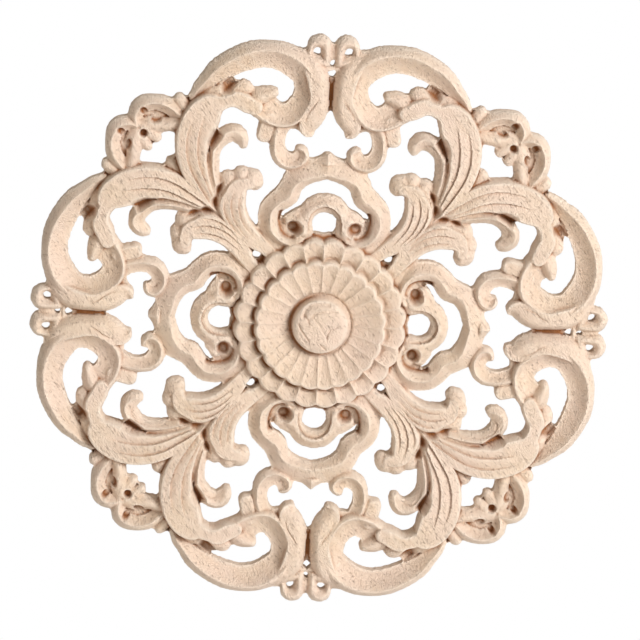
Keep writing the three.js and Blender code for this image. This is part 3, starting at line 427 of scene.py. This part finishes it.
# Height of the rosette: flutes round the button, over an outer ring of petals.
def rosetteHeight(x, y):
    r = np.hypot(x, y)
    turn = np.arctan2(y, x) * rosette["petals"] / (2 * math.pi)
    v = np.abs((turn % 1) - 0.5) * 2  # 1 on a rib, 0 in the middle of a petal
    tiers = np.array(rosette["tiers"])
    bow = np.interp(r, tiers[:, 0], tiers[:, 3])
    arc = 1 - v ** 2
    flat = r - bow * (2 * arc - 1)
    height = np.interp(flat, tiers[:, 0], tiers[:, 1])
    flute = np.interp(flat, tiers[:, 0], tiers[:, 2])
    return np.where(r < rosette["radius"], height - flute * (1 - v ** 3), 0)


print("applique: carving one eighth")
count = int(board["gridHalf"] / board["step"]) + 2
col, line = np.meshgrid(np.arange(count), np.arange(count))
used = (col <= line + 2) & (np.hypot(col, line) * board["step"] < board["gridRound"])
px = (col[used] * board["step"]).astype(float)
py = (line[used] * board["step"]).astype(float)

inside = rosette["groundRadius"] - np.hypot(px, py)
height = np.full(px.shape, float(board["ground"]))
edgeLevel = np.full(px.shape, float(board["ground"]))
edgeBand = 0.7  # how far the height at the outline is carried past it
mirrors = [lambda x, y: (x, y), lambda x, y: (-x, y), lambda x, y: (y, x)]
for stroke in strokes.values():
    run = smoothRun(stroke["run"])
    widest = run[:, 2].max() + 1
    cut = cuts[stroke["cut"]]
    for mirror in (mirrors[::2] if "mitre" in stroke else mirrors):
        fx, fy = mirror(px, py)
        close = (fx > run[:, 0].min() - widest) & (fx < run[:, 0].max() + widest)
        close &= (fy > run[:, 1].min() - widest) & (fy < run[:, 1].max() + widest)
        if not close.any():
            continue
        at = nearest(run, fx[close], fy[close])
        w, h, crest = at["row"][:, 2], at["row"][:, 3], at["row"][:, 4]
        made = cut(np.clip(at["t"], -1, 1), w, h, crest, at["along"] / at["whole"], stroke)
        depth = (1 - np.abs(at["t"])) * w
        inside[close] = np.maximum(inside[close], depth)
        height[close] = np.where(depth >= 0, np.maximum(height[close], made), height[close])
        edgeLevel[close] = np.where(depth > -edgeBand, np.maximum(edgeLevel[close], made), edgeLevel[close])
rows = np.array(gable)
halfGable, ridge = (np.interp(py, rows[:, 0], rows[:, k]) for k in (1, 2))
onGable = (py > rows[0, 0]) & (py < rows[-1, 0])
inside = np.where(onGable, np.maximum(inside, np.minimum(halfGable - np.abs(px), rows[-1, 0] - py)), inside)
slopes = board["edge"] + (ridge - board["edge"]) * (1 - np.abs(px) / halfGable)
height = np.where(onGable & (np.abs(px) < halfGable), np.maximum(height, slopes), height)
inside = np.minimum(inside, np.hypot(px - pinHole["at"][0], py - pinHole["at"][1]) - pinHole["radius"])

for opening in openings:
    q = np.hypot((px - opening["at"][0]) / opening["size"][0], (py - opening["at"][1]) / opening["size"][1])
    inside = np.minimum(inside, (q - 1) * min(opening["size"]))

for fold in folds.values():
    at = nearest(smoothRun(fold["run"]), px, py, plain=True)
    d, strength = at["t"], at["row"][:, 2]
    ended = (at["along"] < 1e-6) | (at["along"] > at["whole"] - 1e-6)
    behind = fold["rise"] * np.clip(1 + d / fold["back"], 0, 1)
    before = -fold["sink"] * np.clip(1 - d / fold["front"], 0, 1) ** foldCurve
    height += np.where(ended, 0, strength * np.where(d < 0, behind, before))

for channel in channels:
    at = nearest(smoothRun(channel["run"]), px, py, plain=True)
    sides = np.clip(np.abs(at["t"]) - channel["flat"], 0, None) * channel["steep"]
    height = np.minimum(height, at["row"][:, 2] + sides)

for pit in pits:
    a = math.radians(pit["turn"])
    dx, dy = px - pit["at"][0], py - pit["at"][1]
    u = (dx * math.cos(a) + dy * math.sin(a)) / pit["size"][0]
    v = (dy * math.cos(a) - dx * math.sin(a)) / pit["size"][1]
    q = np.hypot(u, v)
    height = np.minimum(height, pit["floor"] + np.clip(q - pitFlat, 0, None) * pitSteep)

height = np.maximum(height, rosetteHeight(px, py))
height = np.maximum(height, board["deepest"])
height = np.where(inside > 0, height, np.maximum(edgeLevel, board["ground"]))

# The eighth is laid out over the whole board.
square = np.zeros((2, count, count))
square[0] = -1
square[0][used] = inside
square[1][used] = height
reach = np.arange(-(count - 3), count - 2)
across, up = np.meshgrid(np.abs(reach), np.abs(reach))
low, high = np.minimum(across, up), np.maximum(across, up)
insideAll, heightAll = square[0][high, low], square[1][high, low]


# Evens each value out with its neighbours, once for each pass.
def ease(values, passes):
    for _ in range(passes):
        for axis in (0, 1):
            values = (2 * values + np.roll(values, -1, axis) + np.roll(values, 1, axis)) / 4
    return values


# A fine random relief over the whole board.
def unevenness(seed):
    return ease(np.random.default_rng(seed).normal(size=insideAll.shape), 2)


# The drawing's outline is eased, then a little torn by the cutter.
insideAll = ease(insideAll, board["outlineEasing"])
insideAll += unevenness(7) * board["tear"]

# The bud on the button, and the groove round it, which runs out on the right.
groove = rosette["groove"]
half = int(groove["outer"] / board["step"]) + 1
middle = slice(len(reach) // 2 - half, len(reach) // 2 + half + 1)
budAcross, budUp = np.meshgrid(reach[middle] * board["step"], reach[middle] * board["step"])
button = heightAll[middle, middle]
for depth, width, stations in rosette["budStrokes"]:
    at = nearest(smoothRun([[*xy, 1] for xy in stations]), budAcross, budUp, plain=True)
    button -= depth * np.clip(1 - np.abs(at["t"]) / width, 0, 1)
ring = np.hypot(budAcross, budUp)
rightward = np.cos(np.arctan2(budUp, budAcross) - groove["towards"])
lift = groove["floor"] + groove["rise"] * np.clip(groove["share"] + rightward, 0, 1)
lift -= groove["slope"] * np.abs(ring - groove["radius"])
heightAll[middle, middle] = np.where(ring < groove["outer"], np.maximum(button, lift), button)
heightAll += unevenness(11) * board["ripple"]

print("applique: laying the skin")
n = len(reach)
number = np.arange(n * n).reshape(n, n)
corners = np.stack([number[:-1, :-1], number[:-1, 1:], number[1:, 1:], number[1:, :-1]], -1)
leastInside = 0.01  # keeps the outline off the grid's own points
gx = reach[:-1] + 0.5
rising = (gx[:, None] * gx[None, :] > 0)[..., None]
halves = np.where(
    rising,
    corners[..., [0, 1, 2, 0, 2, 3]],
    corners[..., [0, 1, 3, 1, 2, 3]],
).reshape(-1, 3)
flatInside = insideAll.ravel()
flatInside = np.where(np.abs(flatInside) < leastInside, leastInside, flatInside)
flatHeight = heightAll.ravel()
gridX = np.broadcast_to(reach[None, :] * board["step"], (n, n)).ravel()
gridY = np.broadcast_to(reach[:, None] * board["step"], (n, n)).ravel()
sign = flatInside[halves] > 0
whole = halves[sign.all(1)]
mixed = halves[sign.any(1) & ~sign.all(1)]

# Triangles on the outline are cut where it crosses them.
crossings = {}
crossPoints = []


def crossing(a, b):
    key = (a, b) if a < b else (b, a)
    if key not in crossings:
        f = flatInside[key[0]] / (flatInside[key[0]] - flatInside[key[1]])
        mix = [g[key[0]] + f * (g[key[1]] - g[key[0]]) for g in (gridX, gridY, flatHeight)]
        crossings[key] = n * n + len(crossPoints)
        crossPoints.append(mix)
    return crossings[key]


cutFaces = []
rim = []
for tri in mixed.tolist():
    loop = []
    ends = []
    for k in range(3):
        a, b = tri[k], tri[(k + 1) % 3]
        if flatInside[a] > 0:
            loop.append(a)
        if (flatInside[a] > 0) != (flatInside[b] > 0):
            c = crossing(a, b)
            loop.append(c)
            ends.append((c, flatInside[a] > 0))
    for k in range(1, len(loop) - 1):
        cutFaces.append([loop[0], loop[k], loop[k + 1]])
    leaving = [c for c, out in ends if out][0]
    entering = [c for c, out in ends if not out][0]
    rim.append([leaving, entering])

faces = np.vstack([whole, np.array(cutFaces)])
points = np.vstack([np.stack([gridX, gridY, flatHeight], 1), np.array(crossPoints)])
kept, faces = np.unique(faces, return_inverse=True)
faces = faces.reshape(-1, 3)
rim = np.searchsorted(kept, np.array(rim))
points = points[kept]
total = len(points)
backPoints = points.copy()
backPoints[:, 2] = 0
wall = np.vstack([
    np.stack([rim[:, 0], rim[:, 1] + total, rim[:, 1]], 1),
    np.stack([rim[:, 0], rim[:, 0] + total, rim[:, 1] + total], 1),
])
allFaces = np.vstack([faces, faces[:, ::-1] + total, wall])
allPoints = np.vstack([points, backPoints])

lowCorner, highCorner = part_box("applique")
plan = (highCorner.x - lowCorner.x) / board["across"]
deep = (highCorner.y - lowCorner.y) / board["thick"]
centreX = (highCorner.x + lowCorner.x) / 2
centreZ = (highCorner.z + lowCorner.z) / 2
placed = np.stack([
    centreX + allPoints[:, 0] * plan,
    highCorner.y - allPoints[:, 2] * deep,
    centreZ + allPoints[:, 1] * plan,
], 1)
print("applique:", len(allFaces), "triangles before thinning")

mesh = bpy.data.meshes.new("carvedApplique")
mesh.vertices.add(len(placed))
mesh.vertices.foreach_set("co", placed.astype(np.float32).ravel())
mesh.loops.add(len(allFaces) * 3)
mesh.loops.foreach_set("vertex_index", allFaces.astype(np.int32).ravel())
mesh.polygons.add(len(allFaces))
mesh.polygons.foreach_set("loop_start", np.arange(0, len(allFaces) * 3, 3, dtype=np.int32))
mesh.update(calc_edges=True)
mesh.validate()

applique = bpy.data.objects.new("carvedApplique", mesh)
scene.collection.objects.link(applique)
thinning = applique.modifiers.new("thin", "DECIMATE")
thinning.ratio = board["triangles"] / len(allFaces)
bpy.context.view_layer.update()
thinnedForm = applique.evaluated_get(bpy.context.evaluated_depsgraph_get())
thinned = bpy.data.meshes.new_from_object(thinnedForm)
applique.modifiers.clear()
applique.data = thinned
bpy.data.meshes.remove(mesh)
thinned.name = "carvedApplique"

# How far each spot lies under the wood around it, for painted shade in the hollows, or over it, for painted
# highlights on the crests. The rosette gets its painted shade on its left alone, the side turned away from
# the key light.
paintedLighting = {
    "holeLevel": 2,  # height that an opening counts for
    "nearPasses": 8,
    "widePasses": 40,
    "near": (0.18, 0.72),  # millimetres that get no painted shade, and how fast the painted shade deepens from there
    "wide": (1, 0.7),
    "crests": (0.08, 1.6),
    "rosetteRadius": 26,
    "even": 0.5,  # share of painted shade round the rosette
    "swing": 0.7,  # what the share gains on the left and loses on the right
    "towards": 0.3,  # radians, from straight right to where it loses most
    "least": 0.12,
    "flatBack": 0.001,  # metres above the back that get no painted shade or painted highlight
}


def masked(lengths, kind):
    unpainted, rate = paintedLighting[kind]
    return np.clip((lengths - unpainted) * rate, 0, 1)


near = ease(np.where(insideAll > 0, heightAll, paintedLighting["holeLevel"]), paintedLighting["nearPasses"])
wide = ease(near, paintedLighting["widePasses"])
# Painted highlight: spots standing above the wood around them are made paler.
paintedHighlight = masked(heightAll - near, "crests")
# Painted shade: spots lying below the wood around them are darkened towards brown.
paintedShade = masked(near - heightAll, "near") + masked(wide - heightAll, "wide")
# On the rosette the painted shade is kept mostly to the left, the side turned away from the key light on
# the right.
radius = np.hypot(reach[None, :], reach[:, None]) * board["step"]
around = np.arctan2(reach[:, None], reach[None, :]) - paintedLighting["towards"]
leftward = paintedLighting["even"] - paintedLighting["swing"] * np.cos(around)
paintedShade *= np.where(radius < paintedLighting["rosetteRadius"], np.clip(leftward, paintedLighting["least"], 1), 1)
spots = np.empty(len(thinned.vertices) * 3)
thinned.vertices.foreach_get("co", spots)
spots = spots.reshape(-1, 3)
cell = plan * board["step"]
column = np.clip(np.rint((spots[:, 0] - centreX) / cell).astype(int) + n // 2, 0, n - 1)
row = np.clip(np.rint((spots[:, 2] - centreZ) / cell).astype(int) + n // 2, 0, n - 1)
carved = spots[:, 1] < highCorner.y - paintedLighting["flatBack"]
# The painted shade and painted highlight are stored on the carving's points.
for name, values in (("paintedShade", paintedShade), ("paintedHighlight", paintedHighlight)):
    layer = thinned.attributes.new(name, "FLOAT", "POINT")
    layer.data.foreach_set("value", (np.clip(values[row, column], 0, 1) * carved).astype(np.float32))
thinned.shade_smooth()
thinned.set_sharp_from_angle(angle=math.radians(board["crease"]))
print("applique:", len(thinned.polygons), "triangles")


def addNode(tree, kind, **values):
    node = tree.nodes.new(kind)
    for key, value in values.items():
        if key in node.inputs:
            node.inputs[key].default_value = value
        else:
            setattr(node, key, value)
    return node


grainLean = -52  # degrees from level, seen from the front
# Each figure of the grain: waves a metre along, into and across it, detail, and the levels of 0 and 1.
grain = {
    "Bands": ((14, 200, 420), 3, 0.3, 0.7),
    "Pores": ((330, 1200, 3000), 1, 0.62, 0.72),
    "Cutter": ((1300, 1500, 2900), 2, 0.3, 0.7),
    "Drift": ((45, 45, 45), 2, 0.35, 0.65),
}


# Noise drawn out along the grain, brought between two levels to 0 and 1.
def grainNoise(tree, turned, scale, detail, low, high):
    stretch = addNode(tree, "ShaderNodeMapping", Scale=scale)
    noise = addNode(tree, "ShaderNodeTexNoise", Scale=1, Detail=detail)
    level = addNode(tree, "ShaderNodeMapRange", **{"From Min": low, "From Max": high})
    tree.links.new(turned, stretch.inputs[0])
    tree.links.new(stretch.outputs[0], noise.inputs["Vector"])
    tree.links.new(noise.outputs[0], level.inputs["Value"])
    return level.outputs[0]


grainGroup = bpy.data.node_groups.new("rawGrain", "ShaderNodeTree")
for name in grain:
    grainGroup.interface.new_socket(name=name, in_out="OUTPUT", socket_type="NodeSocketFloat")
place = addNode(grainGroup, "ShaderNodeTexCoord")
turned = addNode(grainGroup, "ShaderNodeMapping", Rotation=(0, math.radians(grainLean), 0))
output = addNode(grainGroup, "NodeGroupOutput")
grainGroup.links.new(place.outputs["Object"], turned.inputs[0])
for name, values in grain.items():
    grainGroup.links.new(grainNoise(grainGroup, turned.outputs[0], *values), output.inputs[name])


# Mixes two colours; each is a colour or the output of a node.
def mixColours(tree, factor, first, second):
    mix = addNode(tree, "ShaderNodeMix", data_type="RGBA")
    for value, socket in ((factor, mix.inputs[0]), (first, mix.inputs[6]), (second, mix.inputs[7])):
        if isinstance(value, tuple):
            socket.default_value = value
        else:
            tree.links.new(value, socket)
    return mix.outputs[2]


def scaled(tree, value, factor):
    node = addNode(tree, "ShaderNodeMath", operation="MULTIPLY")
    tree.links.new(value, node.inputs[0])
    node.inputs[1].default_value = factor
    return node.outputs[0]


woodColours = {
    "pale": (0.83, 0.672, 0.53, 1),
    "warm": (0.79, 0.61, 0.455, 1),
    "pink": (0.83, 0.65, 0.555, 1),
    # Pale colour of the painted highlight on the crests.
    "paintedHighlight": (0.93, 0.81, 0.69, 1),
    "pore": (0.3, 0.17, 0.09, 1),
    # Brown of the painted shade in the hollows.
    "paintedShadeBrown": (0.36, 0.125, 0.024, 1),
}
woodShares = {"pink": 0.5, "pore": 0.38, "paintedHighlight": 0.6, "paintedShadeBrown": 0.95}
woodSurface = {
    "Roughness": 0.8,
    "Specular IOR Level": 0.2,
    "Sheen Weight": 0.12,
    "Sheen Roughness": 0.6,
}
cutterDepth = 0.0004
poreDepth = 0.00015
wood = bpy.data.materials.new("rawWood")
wood.use_nodes = True
tree = wood.node_tree
shader = tree.nodes["Principled BSDF"]
for name, value in woodSurface.items():
    shader.inputs[name].default_value = value
figure = addNode(tree, "ShaderNodeGroup", node_tree=grainGroup)
# Painted shade in the hollows.
hollow = addNode(tree, "ShaderNodeAttribute", attribute_name="paintedShade")
# Painted highlight on the crests.
crests = addNode(tree, "ShaderNodeAttribute", attribute_name="paintedHighlight")
colour = mixColours(tree, figure.outputs["Bands"], woodColours["pale"], woodColours["warm"])
# The grain colours are mixed first, then the painted highlight on the crests and the painted shade in the
# hollows.
for name, where in (
    ("pink", figure.outputs["Drift"]),
    ("pore", figure.outputs["Pores"]),
    ("paintedHighlight", crests.outputs["Fac"]),
    ("paintedShadeBrown", hollow.outputs["Fac"]),
):
    colour = mixColours(tree, scaled(tree, where, woodShares[name]), colour, woodColours[name])
tree.links.new(colour, shader.inputs["Base Color"])
cutterBump = addNode(tree, "ShaderNodeBump", Strength=1, Distance=cutterDepth)
poreBump = addNode(tree, "ShaderNodeBump", Strength=1, Distance=poreDepth, invert=True)
tree.links.new(figure.outputs["Cutter"], cutterBump.inputs["Height"])
tree.links.new(figure.outputs["Pores"], poreBump.inputs["Height"])
tree.links.new(cutterBump.outputs[0], poreBump.inputs["Normal"])
tree.links.new(poreBump.outputs[0], shader.inputs["Normal"])
applique.data.materials.clear()
applique.data.materials.append(wood)

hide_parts("applique")
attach(applique, "root")

studio = {
    "floorBelow": 0.3,
    "floorHalf": 30,
    "floorColour": (0.95, 0.95, 0.95, 1),
    "floorRoughness": 0.9,
    "keyAngle": (38, 20),  # degrees: how far round to the right of the face, and how high
    "keyDistance": 1.8,
    "keySize": 0.75,
    "keyPower": 31,
    "fill": 0.48,
    "fillColour": (1, 0.915, 0.81, 1),
}
scene.view_settings.view_transform = "Standard"
scene.view_settings.look = "None"


# White where the camera looks straight at it, and dimmer as a light on the ornament.
def whiteBackdrop(tree, surface, behind):
    path = tree.nodes.new("ShaderNodeLightPath")
    seen = tree.nodes.new("ShaderNodeBackground" if behind else "ShaderNodeEmission")
    mix = tree.nodes.new("ShaderNodeMixShader")
    tree.links.new(path.outputs["Is Camera Ray"], mix.inputs[0])
    tree.links.new(surface.outputs[0], mix.inputs[1])
    tree.links.new(seen.outputs[0], mix.inputs[2])
    output = next(node for node in tree.nodes if node.bl_idname.startswith("ShaderNodeOutput"))
    tree.links.new(mix.outputs[0], output.inputs["Surface"])


world = bpy.data.worlds.new("whiteStudio")
scene.world = world
world.use_nodes = True
background = world.node_tree.nodes["Background"]
background.inputs["Color"].default_value = studio["fillColour"]
background.inputs["Strength"].default_value = studio["fill"]
whiteBackdrop(world.node_tree, background, True)

floorMesh = bpy.data.meshes.new("floor")
floorZ = lowCorner.z - studio["floorBelow"]
far = studio["floorHalf"]
floorCorners = [(x * far, y * far, floorZ) for x, y in ((-1, -1), (1, -1), (1, 1), (-1, 1))]
floorMesh.from_pydata(floorCorners, [], [(0, 1, 2, 3)])
floor = bpy.data.objects.new("floor", floorMesh)
scene.collection.objects.link(floor)
paper = bpy.data.materials.new("palePaper")
paper.use_nodes = True
paperShader = paper.node_tree.nodes["Principled BSDF"]
paperShader.inputs["Base Color"].default_value = studio["floorColour"]
paperShader.inputs["Roughness"].default_value = studio["floorRoughness"]
whiteBackdrop(paper.node_tree, paperShader, False)
floorMesh.materials.append(paper)

print("studio: light and camera")
centre = Vector((centreX, (lowCorner.y + highCorner.y) / 2, centreZ))


# The way out from the front of the ornament, turned so many degrees to the right and up.
def awayFrom(turn, rise):
    a, e = math.radians(turn), math.radians(rise)
    return Vector((math.sin(a) * math.cos(e), -math.cos(a) * math.cos(e), math.sin(e)))


keyLight = bpy.data.lights.new("key", "AREA")
keyLight.shape = "DISK"
keyLight.size = studio["keySize"]
keyLight.energy = studio["keyPower"]
key = bpy.data.objects.new("key", keyLight)
scene.collection.objects.link(key)
away = awayFrom(*studio["keyAngle"])
key.location = centre + away * studio["keyDistance"]
key.rotation_euler = away.to_track_quat("Z", "Y").to_euler()

shot = {
    "angle": (-3, 11.5),  # degrees: how far round to the right of the face, and how high
    "roll": 3,
    "distance": 1.6,
    "lens": 260.9,
    "filmWidth": 36,
    "offset": (0.0001, 0.0013),
}
cameraData = bpy.data.cameras.new("camera")
cameraData.lens = shot["lens"]
cameraData.sensor_width = shot["filmWidth"]
camera = bpy.data.objects.new("camera", cameraData)
scene.collection.objects.link(camera)
back = awayFrom(*shot["angle"])
turnTo = (-back).to_track_quat("-Z", "Y") @ Quaternion((0, 0, 1), math.radians(shot["roll"]))
camera.rotation_mode = "QUATERNION"
camera.rotation_quaternion = turnTo
right, top = turnTo @ Vector((1, 0, 0)), turnTo @ Vector((0, 1, 0))
aside, above = shot["offset"]
camera.location = centre + back * shot["distance"] + right * aside + top * above
scene.camera = camera
